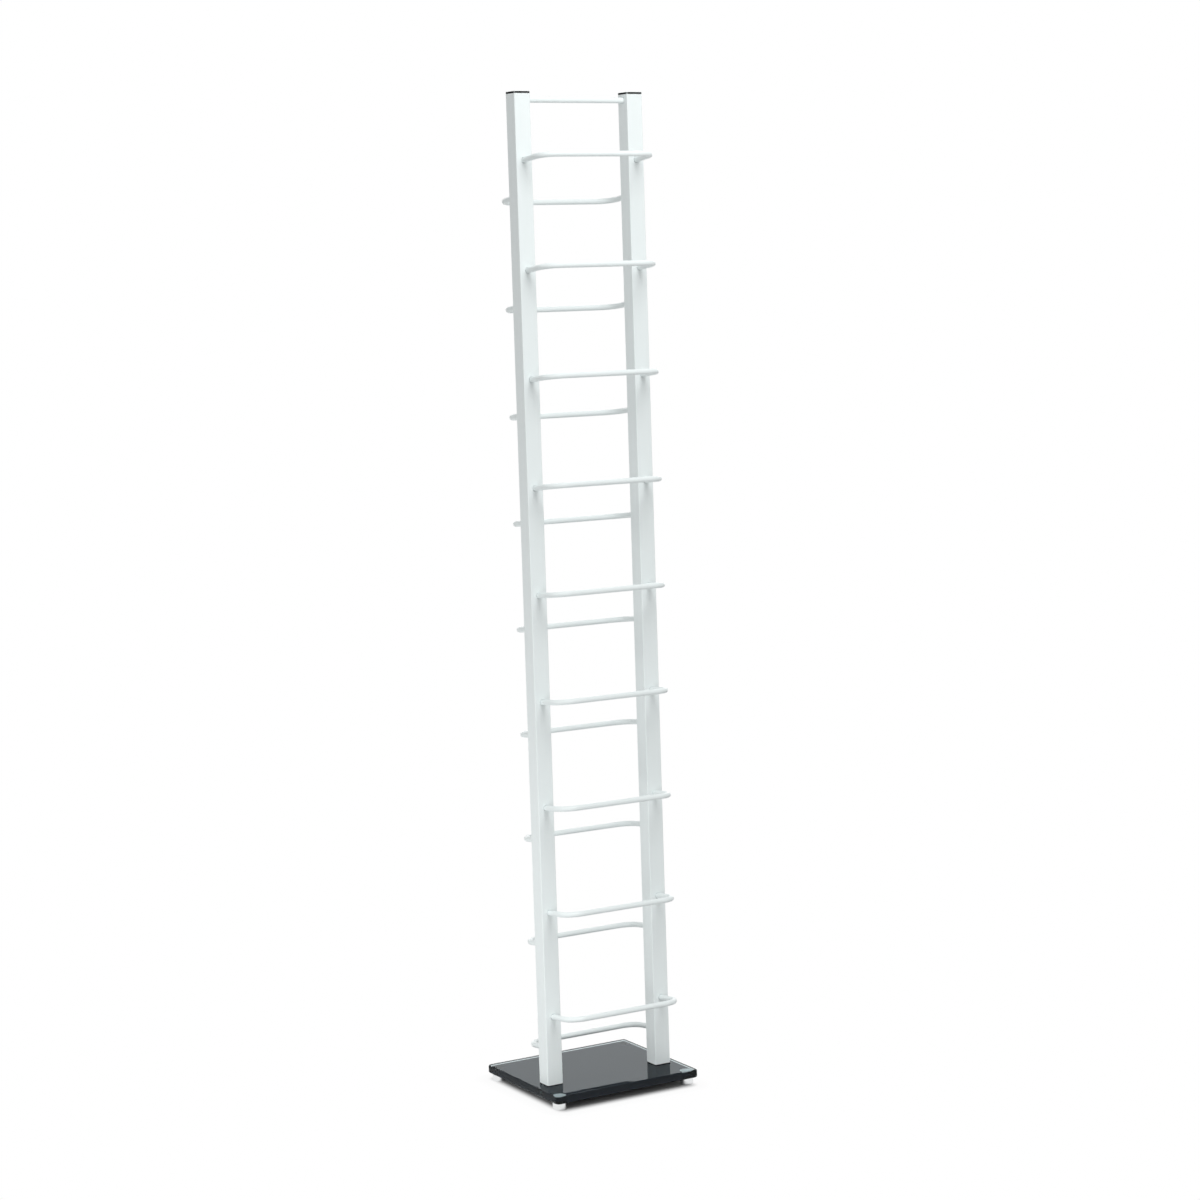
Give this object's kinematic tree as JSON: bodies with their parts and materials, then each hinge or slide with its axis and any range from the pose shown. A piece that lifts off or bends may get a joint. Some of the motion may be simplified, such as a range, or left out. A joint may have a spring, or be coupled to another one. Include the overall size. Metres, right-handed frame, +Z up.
{
  "type": "disc storage tower",
  "caption": "Free-standing tower for disc cases: a dark glass base, slim square posts, and wire loops that hold stacked tiers of cases.",
  "frame": {"origin": "on the floor, at the centre of the footprint of the bounding box", "axes": "+Z up, the front towards -Y, the width along X"},
  "size_m": [0.238, 0.2137, 1.4366],
  "materials": {
    "white_paint": "smooth white powder coat, low sheen",
    "dark_glass": "dark tinted, polished faces and rounded polished edges",
    "black_plastic": "black moulded plastic, low sheen",
    "black_rubber": "black matte rubber",
    "zinc_steel": "bright zinc plated",
    "bright_metal": "bright satin metal",
    "soft_pad": "pale translucent soft plastic",
    "bond_pad": "pale grey-green cured adhesive"
  },
  "bodies": {
    "root": {"glass_base": "dark_glass", "left_post": "white_paint", "right_post": "white_paint", "left_top_cap": "black_plastic", "right_top_cap": "black_plastic", "left_post_gasket": "black_rubber", "right_post_gasket": "black_rubber", "left_threaded_plug": "zinc_steel", "right_threaded_plug": "zinc_steel", "left_soft_washer": "black_rubber", "right_soft_washer": "black_rubber", "left_washer": "zinc_steel", "right_washer": "zinc_steel", "left_base_screw": "zinc_steel", "right_base_screw": "zinc_steel", "top_crossbar": "white_paint", "front_loop_1": "white_paint", "front_loop_2": "white_paint", "front_loop_3": "white_paint", "front_loop_4": "white_paint", "front_loop_5": "white_paint", "front_loop_6": "white_paint", "front_loop_7": "white_paint", "front_loop_8": "white_paint", "front_loop_9": "white_paint", "rear_loop_1": "white_paint", "rear_loop_2": "white_paint", "rear_loop_3": "white_paint", "rear_loop_4": "white_paint", "rear_loop_5": "white_paint", "rear_loop_6": "white_paint", "rear_loop_7": "white_paint", "rear_loop_8": "white_paint", "rear_loop_9": "white_paint", "front_left_foot": "bright_metal", "front_right_foot": "bright_metal", "rear_left_foot": "bright_metal", "rear_right_foot": "bright_metal", "front_left_foot_pad": "soft_pad", "front_right_foot_pad": "soft_pad", "rear_left_foot_pad": "soft_pad", "rear_right_foot_pad": "soft_pad", "front_left_foot_bond": "bond_pad", "front_right_foot_bond": "bond_pad", "rear_left_foot_bond": "bond_pad", "rear_right_foot_bond": "bond_pad"}
  },
  "joints": []
}
